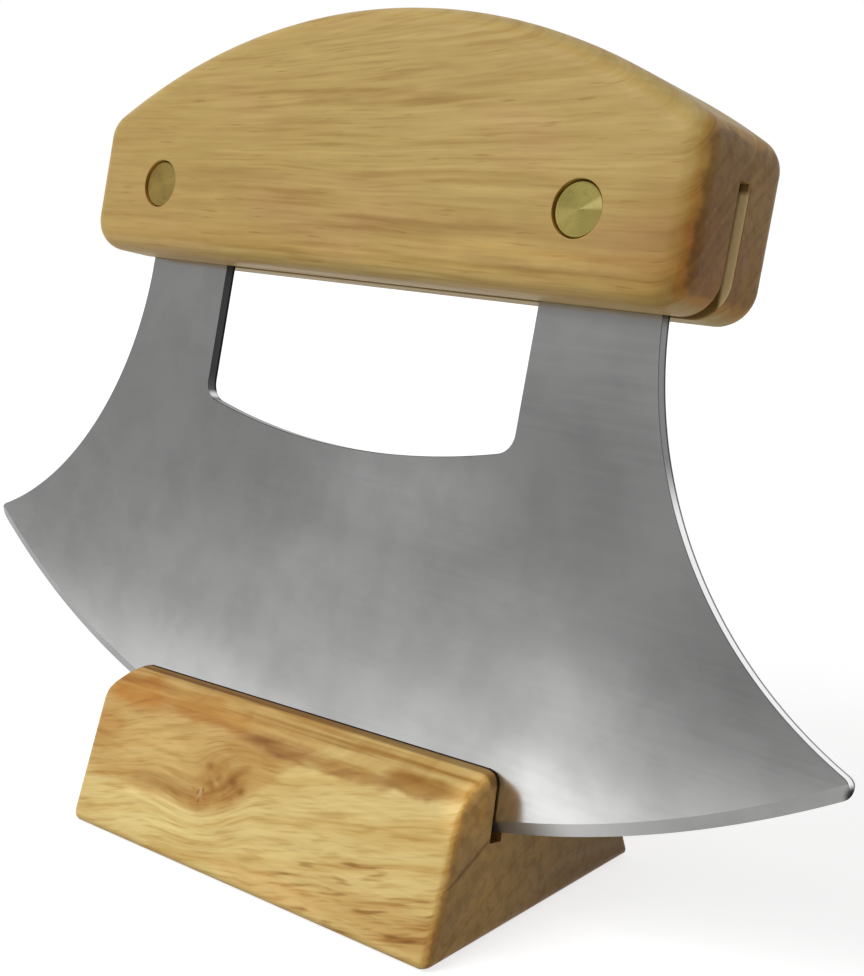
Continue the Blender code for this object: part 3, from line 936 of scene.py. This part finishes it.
def tint(colour, amount, shade):
    """The colour, multiplied by a shade where the amount is 1. A single number is a grey shade."""
    shade = (*shade, 1) if isinstance(shade, tuple) else grey(shade)
    return blend(amount, colour, shade, "MULTIPLY")


def tint_by(colour, layers, share=None):
    """Tint by patterns: each shade grows from none to full between two values of its pattern."""
    for pattern, none, full, shade in layers:
        amount = spread(pattern, none, full)
        colour = tint(colour, amount if share is None else times(amount, share), shade)
    return colour


def tint_patches(colour, place, deep, patches):
    """Tint patches of a flat side, each with its middle across and up, its reach and its shade."""
    for across, up, wide, high, shade in patches:
        colour = tint(colour, soft_patch(place, (across, deep, up), (wide, PATCH_DEPTH, high)), shade)
    return colour


def speckle_ends(colour, place, end):
    """Cut fibres show on end grain as fine dark and light spots."""
    spots = ((700, (0.8, 0.78, 0.76)), (260, (0.88, 0.86, 0.84)), (120, (1.12, 1.1, 1.06)))
    layers = [(noise(place, (scale, scale, scale)), 0.45, 0.65, shade) for scale, shade in spots]
    return tint_by(colour, layers, spread(end, 0.6, 0.9))


print("wood helpers ready")

# %% [markdown]
# ## Honey birch for the handle
#
# The handle's wood is a light honey colour with fine, nearly level lines, which rise to the right
# in the upper half. Here and there a darker line follows the grain, and the crown has a faint pink
# flush. The pattern is laid out in the knife's own upright axes, which a Mapping node finds again
# in the leaning piece.

# %% Lay out the handle's grain
honey, tree, shader = new_finish("honey_birch", {"Roughness": 0.48, "Specular IOR Level": 0.25})
HANDLE_PITH = (45 * MM, 35 * MM)
GRAIN_AXIS = KNIFE_PLACE.to_3x3() @ Vector((1, 0, 0))
FACE_AXIS = KNIFE_PLACE.to_3x3() @ Vector((0, 1, 0))


def place_in_knife():
    """The place on a piece of the knife, in the knife's own upright axes."""
    return seen_from(own_place(), KNIFE_PLACE.translation, KNIFE_PLACE.to_euler())


place = place_in_knife()
across, deep, up = parts_of(place)
rise = spread(up, 78 * MM, 100 * MM, 0.01, 0.08)
growth = from_pith(deep, calc("SUBTRACT", up, times(across, rise)), HANDLE_PITH)
growth = pushed(growth, noise(place, (12, 40, 40)), 2.5 * MM)
growth = pushed(growth, noise(place, (60, 160, 160)), 0.6 * MM)
bands = streaks(across, growth, 7, 300)
lines = streaks(across, growth, 26, 1150)
dashes = streaks(across, growth, 68, 2300, 1)
pores = streaks(across, growth, 150, 3200, 1)
fibres = noise(place, (90, 1500, 1500))
flush = noise(place, (40, 90, 90))
mottle = noise(place, (160, 420, 420))
print("the handle's grain runs along", [round(value, 3) for value in GRAIN_AXIS])

# %% Colour the handle
HONEY = paint(188, 159, 90)
PINK = paint(190, 156, 95)
DARKER = (0.84, 0.77, 0.68)
GREYER_SHADE = (0.8, 0.78, 0.78)
PALER = (1.1, 1.12, 1.2)
PALEST_SHEEN = (1.24, 1.24, 1.28)

colour = blend(spread(flush, 0.48, 0.7), HONEY, PINK)
calm = spread(across, -45 * MM, -5 * MM, 0.6, 1)
grain_shades = [
    (bands, 0.45, 0.7, (0.9, 0.86, 0.78)), (lines, 0.48, 0.72, (0.87, 0.82, 0.72)),
    (lines, 0.5, 0.3, (1.08, 1.08, 1.12)), (dashes, 0.5, 0.7, (0.91, 0.86, 0.78)),
    (dashes, 0.48, 0.3, (1.06, 1.06, 1.08))]
colour = tint_by(colour, grain_shades, calm)
colour = tint_by(colour, [
    (mottle, 0.35, 0.65, (0.95, 0.94, 0.92)), (fibres, 0.4, 0.75, (0.93, 0.91, 0.88)),
    (pores, 0.64, 0.74, (0.84, 0.78, 0.7))])
loose = shaken(place, 160, 2 * MM)
# The three DARKER patches are tone in the wood; the other three, near the foot, are painted light and shade
# on the lower rounding.
colour = tint_patches(colour, loose, -9, [
    (-25, 79, 19, 1.6, DARKER), (20, 74.3, 34, 1.2, DARKER), (4, 90, 26, 1.4, DARKER),
    (32, 72.1, 28, 1.5, PALEST_SHEEN), (34, 70.3, 26, 0.9, GREYER_SHADE), (30, 69, 40, 1, PALER)])
# Darker from 80 mm down to 74 mm; below that it is painted lighter, with a pale bluish sheen on the lower
# rounding: painted light.
colour = tint_by(colour, [
    (up, 80 * MM, 74 * MM, (0.94, 0.91, 0.88)), (up, 73 * MM, 70 * MM, (1.1, 1.1, 1.12)),
    (up, 70 * MM, 68.4 * MM, (1.1, 1.16, 1.24))])
brown_corner = soft_patch(loose, (50, -7, 73), (11, 14, 14))
colour = tint(colour, brown_corner, (0.82, 0.7, 0.55))
# Painted sheen: the rounded crown edge at the right is tinted pale and bluish, as where it catches light.
crown_edge_sheen = times(spread(facing(FACE_AXIS), 0.95, 0.6), spread(up, 79 * MM, 84 * MM))
crown_edge_sheen = times(crown_edge_sheen, spread(across, 0, 30 * MM))
colour = tint(colour, crown_edge_sheen, (0.95, 0.99, 1.2))

# %% Colour the handle's ends and its kerf
KERF_TOP = HANDLE_FOOT + KERF_DEPTH

end = pushed(facing(GRAIN_AXIS), mottle, 0.3)
colour = tint_by(colour, [
    (end, 0.5, 0.72, (1, 0.8, 0.53)), (end, 0.8, 0.93, (0.64, 0.62, 0.66)),
    (end, 0.93, 0.99, (1.04, 1.08, 1.2))])
colour = speckle_ends(colour, place, end)
# Painted shade in the kerf: its walls are darkened as if in shade.
in_kerf = spread(calc("ABSOLUTE", deep), 1.3 * MM, 1.15 * MM)
kerf_wall = times(in_kerf, spread(facing(FACE_AXIS), 0.8, 0.95))
from_middle = calc("ABSOLUTE", across)
# Painted light: near the open end the kerf wall is painted pale, where light reaches in.
kerf_mouth_light = spread(from_middle, HANDLE_LENGTH / 2 - 1.5 * MM, HANDLE_LENGTH / 2 - 0.9 * MM)
colour = tint(colour, kerf_wall, (0.5, 0.45, 0.4))
colour = blend(times(kerf_wall, kerf_mouth_light), colour, paint(255, 228, 170))
from_rivet = diagonal(calc("SUBTRACT", from_middle, RIVET_SPACING / 2), calc("SUBTRACT", up, RIVET_HEIGHT))
mouth_wall = spread(from_rivet, MOUTH_RADIUS + 0.05 * MM, MOUTH_RADIUS + 0.01 * MM)
colour = tint(colour, mouth_wall, (0.95, 0.9, 0.72))
# Painted shade: the wall is darkest near the kerf's top, deep inside the cut.
kerf_top_shade = spread(up, KERF_TOP - 1.5 * MM, KERF_TOP - 0.6 * MM)
colour = tint(colour, times(kerf_top_shade, kerf_wall), (0.3, 0.22, 0.16))
feed(shader.inputs["Base Color"], colour)
feed(shader.inputs["Roughness"], spread(lines, 0.3, 0.7, 0.44, 0.56))
raise_by(calc("SUBTRACT", fibres, spread(pores, 0.64, 0.76, 0, 0.6)), 0.03 * MM)
print("honey birch nodes:", len(tree.nodes))

# %% [markdown]
# ## Golden birch for the stand
#
# The stand was cut from a livelier piece. Its grain rises to the right, its lower part is pale, its
# upper part is browner, and at the left of the middle the border between the two bends round a
# small knot. Short dark flecks run along the grain at the lower right. The knot is an ellipsoid in
# the wood: the rings dip under it, and it has a mottled body, dark smudges and a cracked eye.

# %% Lay out the stand's grain
golden, tree, shader = new_finish("golden_birch", {"Roughness": 0.45, "Specular IOR Level": 0.25})
STAND_PITH = (10 * MM, -44 * MM)
GRAIN_RISE = radians(9.5)
KNOT_FOOT = (-8.8, -18.5, 8.7)

place = own_place()
loose = shaken(place, 220, 2.4 * MM)
across, deep, up = parts_of(place)
knot_dip = soft_patch(place, KNOT_FOOT, (12, 12, 8))
knot_crown = soft_patch(place, (-4, -16.5, 15.6), (10, 9, 5))
level = calc("SUBTRACT", up, times(across, tan(GRAIN_RISE)))
level = calc("MULTIPLY_ADD", knot_dip, 2.4 * MM, level)
level = calc("MULTIPLY_ADD", knot_crown, -0.7 * MM, level)
growth = from_pith(deep, level, STAND_PITH)
growth = pushed(growth, noise(place, (20, 50, 50)), 2.5 * MM)
growth = pushed(growth, noise(place, (40, 150, 150)), 0.5 * MM)
bands = streaks(across, growth, 16, 420)
lines = streaks(across, growth, 40, 1150)
dashes = streaks(across, growth, 170, 2500, 1)
flecks = streaks(across, growth, 190, 2100, 1)
drawn_out = noise(place, (70, 420, 700))
fibres = noise(place, (80, 1500, 1500))
mottle = noise(place, (500, 1100, 1100), 3)

border = spread(across, -9 * MM, 13 * MM, 7.5 * MM, 17.6 * MM)
border = calc("MULTIPLY_ADD", calc("ADD", deep, 17 * MM), 0.3, border)
over_border = pushed(calc("SUBTRACT", up, border), noise(place, (60, 120, 120)), 2 * MM)
over_border = pushed(over_border, lines, 2.5 * MM)
brown_part = spread(over_border, -0.5 * MM, 0.9 * MM)
print("the stand's grain rises by", round(GRAIN_RISE, 3), "rad")

# %% Colour the stand
PALE = paint(222, 196, 127)
TAN = paint(206, 170, 102)
BROWN = (0.6, 0.45, 0.22)
ORANGE = (0.88, 0.63, 0.3)
LIGHT = (1.12, 1.2, 1.3)
PINKISH = (1, 0.86, 0.78)

colour = blend(brown_part, PALE, TAN)
on_top = spread(facing((0, 0, 1)), 0.6, 0.9)
end = facing((cos(GRAIN_RISE), 0, sin(GRAIN_RISE)))
calm = times(spread(end, 0.95, 0.7, 0.4, 1), spread(on_top, 0, 1, 1, 0.1))
grain_shades = [
    (bands, 0.46, 0.66, (0.9, 0.82, 0.68)), (lines, 0.48, 0.7, (0.86, 0.78, 0.64)),
    (lines, 0.48, 0.3, (1.06, 1.06, 1.08)), (dashes, 0.5, 0.7, (0.86, 0.78, 0.66)),
    (dashes, 0.48, 0.3, (1.06, 1.06, 1.08))]
colour = tint_by(colour, grain_shades, calm)
top_lines = noise(place, (30, 900, 300), 3)
top_shades = [(drawn_out, 0.4, 0.65, (0.82, 0.72, 0.56)), (top_lines, 0.45, 0.7, BROWN)]
colour = tint_by(colour, top_shades, on_top)
colour = tint_by(colour, [(fibres, 0.4, 0.75, (0.94, 0.92, 0.88))])
stand_patches = [
    ((-20, -16.5, 12.6), (15, 9, 5), LIGHT), ((-31, -16, 14.4), (5, 6, 4), (0.9, 0.76, 0.62)),
    ((-27, -13, 18.6), (9, 6, 2.8), ORANGE), ((-12, -13, 19), (16, 6, 2), (0.92, 0.76, 0.52)),
    ((-1, -15, 16.6), (10, 7, 3), (0.86, 0.76, 0.6)), ((9, -14.4, 17.9), (20, 4, 2), BROWN),
    ((26, -13.8, 18.7), (9, 4, 2), BROWN), ((-17, -18, 9.4), (10, 5, 1.7), (0.84, 0.79, 0.76)),
    ((-18, -19, 7.2), (12, 6, 1), PALER), ((8, -20, 2.4), (17, 6, 2.2), PINKISH),
    ((24, -20, 3.4), (18, 6, 4.6), (0.82, 0.7, 0.58)), ((-20, -20, 5), (18, 6, 4), (1.07, 1.1, 1.14))]
layers = [(soft_patch(loose, middle, reach), 0, 0.6, shade) for middle, reach, shade in stand_patches]
colour = tint_by(colour, layers, spread(drawn_out, 0.33, 0.56, 0.5, 1))
print("patches on the stand:", len(stand_patches))

# %% Draw the knot and the flecks
knot_parts = (((-5.5, -17.5, 11.7), (7, 8, 4.4)), (KNOT_FOOT, (3.4, 5, 2)))
layers = [(soft_patch(loose, middle, reach), 0, 0.7, (0.8, 0.68, 0.5)) for middle, reach in knot_parts]
colour = tint_by(colour, layers, spread(mottle, 0.35, 0.65, 0.45, 0.9))
uneven = shaken(place, 700, 1 * MM)
for smudge_across, smudge_up in ((-8.2, 13.3), (-6, 12.2), (-3.2, 12.2), (-1.4, 11.5), (-7.2, 10.9)):
    smudge = soft_patch(uneven, (smudge_across, -17, smudge_up), (1.3, 4, 0.9))
    colour = tint(colour, smudge, (0.74, 0.62, 0.46))
eye = soft_patch(uneven, (-9.1, -17.5, 9.7), (1.2, 3, 1.6))
colour = blend(spread(eye, 0.1, 0.8, 0, 0.5), colour, paint(208, 171, 114))
for crack_across, crack_up in ((-9.4, 9.6), (-8.5, 10.2), (-8.9, 8.6)):
    crack = soft_patch(uneven, (crack_across, -17.5, crack_up), (0.35, 2, 0.8))
    colour = tint(colour, crack, (0.56, 0.42, 0.28))
fleck_zone = soft_patch(loose, (24, -20, 4), (26, 14, 8))
off_end = spread(end, 0.6, 0.3)
fleck_here = times(spread(flecks, 0.54, 0.74), off_end)
fleck_here = times(fleck_here, spread(fleck_zone, 0, 0.5, 0.2, 1))
colour = tint(colour, fleck_here, (0.62, 0.49, 0.33))
long_lines = times(spread(lines, 0.53, 0.66), spread(fleck_zone, 0.1, 0.6))
colour = tint(colour, times(long_lines, off_end), (0.72, 0.58, 0.42))
print("parts of the knot:", len(knot_parts))

# %% Colour the stand's ends
RING_PLACE = (34 * MM, -13.2 * MM, 10.9 * MM)
RING_TURN = (radians(25), 0, 0)

end = pushed(end, mottle, 0.4)
colour = tint_by(colour, [
    (end, 0.3, 0.6, (0.86, 0.7, 0.5)), (end, 0.6, 0.9, (0.66, 0.62, 0.62)), (end, 0.9, 1, (0.92, 0.96, 1))])
colour = speckle_ends(colour, place, end)
# Painted shade: the end faces grow darker toward the rear, behind the blade.
rear_end_shade = times(spread(deep, -12 * MM, 20 * MM), spread(end, 0.6, 0.9))
colour = tint(colour, rear_end_shade, (0.55, 0.5, 0.5))
# Painted light: the end of the front wall is lighter near its top, where light falls on it.
front_end_light = soft_patch(loose, (34, -13, 18), (4, 7, 7))
colour = tint(colour, front_end_light, (1.45, 1.4, 1.4))
from_slot = calc("ABSOLUTE", dot(seen_from(place, SLOT_FLOOR), SLOT_ACROSS))
# Painted shade: a dark band along the slot's lip, where the rounded lip turns into shade.
lip_shade = spread(from_slot, SLOT_WIDTH / 2 + 1.3 * MM, SLOT_WIDTH / 2 + 0.8 * MM)
colour = tint(colour, times(lip_shade, spread(up, 18.5 * MM, 19.5 * MM)), (0.44, 0.38, 0.28))
# Painted shade: the slot's walls and floor, seen at the right end, are darkened as if deep inside the cut.
slot_shade = spread(from_slot, SLOT_WIDTH / 2 + 0.1 * MM, SLOT_WIDTH / 2)
colour = tint(colour, times(slot_shade, spread(facing((1, 0, 0)), 0.8, 0.5)), (0.3, 0.2, 0.16))
# Painted shade: a darker band along the foot, where the rounded bottom edge turns into shade.
colour = tint(colour, spread(up, 1.5 * MM, 0.3 * MM), (0.74, 0.67, 0.52))
dark_ring = soft_patch(seen_from(place, RING_PLACE, RING_TURN), (0, 0, 0), (2.5, 6.5, 0.42))
dark_ring = times(spread(dark_ring, 0, 0.4), spread(end, 0.6, 0.85))
colour = tint(colour, dark_ring, (0.6, 0.5, 0.44))
feed(shader.inputs["Base Color"], colour)
feed(shader.inputs["Roughness"], spread(lines, 0.3, 0.7, 0.42, 0.54))
raise_by(calc("SUBTRACT", fibres, times(fleck_here, 0.6)), 0.03 * MM)
print("golden birch nodes:", len(tree.nodes))

# %% [markdown]
# ## Satin steel
#
# The blade is stainless steel with a satin face: it mirrors the room softly, and faint clouds show
# where it was wiped and handled. A metal's base colour is the colour of its reflection, and larger
# patches of reflection are painted into it. So are shade on the walls of the finger window, a glint,
# a highlight, shade and dark lines on the rims, a dark tip and a darker bevel. The grinding stone has
# left the edge a little rougher.

# %% Finish the steel
steel, tree, shader = new_finish("satin_steel", {"Roughness": 0.15, "Metallic": 1})
STEEL = (0.47, 0.47, 0.465, 1)
FAINT = 0.93

place = place_in_knife()
across, deep, up = parts_of(place)
clouds = noise(place, (34, 34, 34), 3)
smudges = noise(place, (130, 130, 130), 3, 0.6)
wiping = noise(place, (60, 60, 1400))
colour = tint_by(STEEL, [(clouds, 0.35, 0.65, FAINT), (smudges, 0.4, 0.65, FAINT)])
loose = shaken(shaken(place, 45, 9 * MM), 150, 2.5 * MM)
# Painted reflection: lighter and darker patches stand in for the bright and dark parts of the room that the
# face mirrors.
reflection_patches = [
    (11, 42, 23, 9, 1.5), (8, 32, 22, 9, 1.2), (-6, 29, 13, 12, 1.14), (4, 12, 24, 6, 0.84),
    (36, 44, 16, 22, 0.9), (62, 28, 24, 14, 0.76), (-52, 20, 36, 13, 0.86), (-18, 17, 30, 10, 0.9),
    (31, 30, 13, 9, 1.15), (42, 23, 15, 8, 1.3), (44, 10, 17, 10, 1.7)]
colour = tint_patches(colour, loose, 0, reflection_patches)
print("clouds on the steel:", len(reflection_patches))

# %% Finish the rims of the steel
RIM_SHADE_LINE = 0.14
RIM_SHADE = 0.22
RIM_HIGHLIGHT = 0.85
GLINT = 0.95
GROUND_SHADE = 0.68

flat = facing(FACE_AXIS)
# Painted shade: the ground bevel is darkened so that it reflects about as dark as the face.
ground = times(spread(flat, 0.98, 0.94), spread(flat, 0.8, 0.86))
colour = tint(colour, ground, GROUND_SHADE)
# Painted highlight and shade on the rims: the walls are painted bright, darker above 45 mm, with dark lines
# along the edges.
rim = spread(flat, 0.3, 0.15)
colour = blend(rim, colour, grey(RIM_HIGHLIGHT))
colour = tint(colour, times(rim, spread(up, 45 * MM, 52 * MM)), RIM_SHADE)
rim_shade_line = times(spread(flat, 0.15, 0.35), spread(flat, 0.84, 0.78))
rear_shade_line = times(rim, spread(deep, 0.3 * MM, 0.45 * MM))
colour = tint(colour, calc("MAXIMUM", rim_shade_line, rear_shade_line), RIM_SHADE_LINE)
# Painted shade: the right tip is darkened, in its colour and, further down, in its specular tint.
tip = spread(soft_patch(place, (76.8, 0, 22), (2.4, 3, 2.4)), 0.1, 0.5)
colour = tint(colour, tip, RIM_SHADE_LINE)
# Painted shade on the walls of the finger window, and a painted glint at their lower left corner.
in_window = times(spread(calc("ABSOLUTE", across), 32 * MM, 31 * MM), spread(up, 43 * MM, 44.5 * MM))
shaded_window_wall = spread(times(calc("SUBTRACT", 1, flat), in_window), 0.1, 0.4)
colour = tint(colour, shaded_window_wall, RIM_SHADE)
glint = soft_patch(place, (-28.6, 0, 48.4), (1.1, 3, 1.1))
colour = blend(times(shaded_window_wall, glint), colour, grey(GLINT))
feed(shader.inputs["Base Color"], colour)
feed(shader.inputs["Specular Tint"], blend(tip, grey(1), grey(RIM_SHADE_LINE)))
wiped = spread(wiping, 0.3, 0.7, -0.015, 0.015)
roughness = calc("ADD", spread(clouds, 0.3, 0.7, 0.13, 0.18), wiped)
roughness = calc("MULTIPLY_ADD", calc("MAXIMUM", ground, rim), 0.15, roughness)
feed(shader.inputs["Roughness"], roughness)
raise_by(wiping, 0.0002 * MM)
print("satin steel nodes:", len(tree.nodes))

# %% [markdown]
# ## Turned brass
#
# The rivets are brass that has dulled a little to an olive tone. The rings of the lathe are in the
# mesh already, and the finish adds dull spots and two painted wedges of highlight like those that
# such rings show, a bright one at the right and a faint one across from it. The left rivet is
# duller and shows little of them.

# %% Finish the brass
brass, tree, shader = new_finish("turned_brass", {"Roughness": 0.3, "Metallic": 1})
WEDGE_TURN = radians(17)
OLIVE = (0.36, 0.3, 0.088, 1)
DULL_OLIVE = (0.31, 0.25, 0.075, 1)

across, _, up = parts_of(place_in_knife())
rivet_side = calc("SIGN", across)
from_axis = calc("SUBTRACT", across, times(rivet_side, RIVET_SPACING / 2))
way_out = calc("ARCTAN2", calc("SUBTRACT", up, RIVET_HEIGHT), from_axis)
# Painted highlight: two wedges round each rivet's middle, a bright one and a faint one across from it.
wedge = calc("COSINE", calc("SUBTRACT", way_out, WEDGE_TURN))
dull = noise(own_place(), (400, 400, 400))
colour = blend(spread(dull, 0.35, 0.7), OLIVE, DULL_OLIVE)
highlight_wedges = [(wedge, 0.95, 0.998, (1.6, 1.65, 2.1)), (wedge, -0.88, -0.99, (1.2, 1.2, 1.3))]
colour = tint_by(colour, highlight_wedges, spread(rivet_side, -1, 1, 0.15, 1))
colour = tint_by(colour, [(rivet_side, 1, -1, (1.12, 0.96, 0.9))])
feed(shader.inputs["Base Color"], colour)
feed(shader.inputs["Roughness"], spread(dull, 0.3, 0.7, 0.26, 0.38))
print("turned brass nodes:", len(tree.nodes))

# %% [markdown]
# ## Dress the pieces
#
# Each finished piece takes the place of the CAD node that it stands for, rides on that node's
# body, wears its finish, and says how it compares in size.

# %% Hand the pieces over
hand_over(blade, "blade", "knife", steel)
hand_over(handle, "handle", "knife", honey)
for kind in ("sleeve", "pin"):
    for side in ("left", "right"):
        hand_over(rivets[kind + "_" + side], "rivet_" + kind + "_" + side, "knife", brass)
hand_over(stand, "stand", "stand", golden)
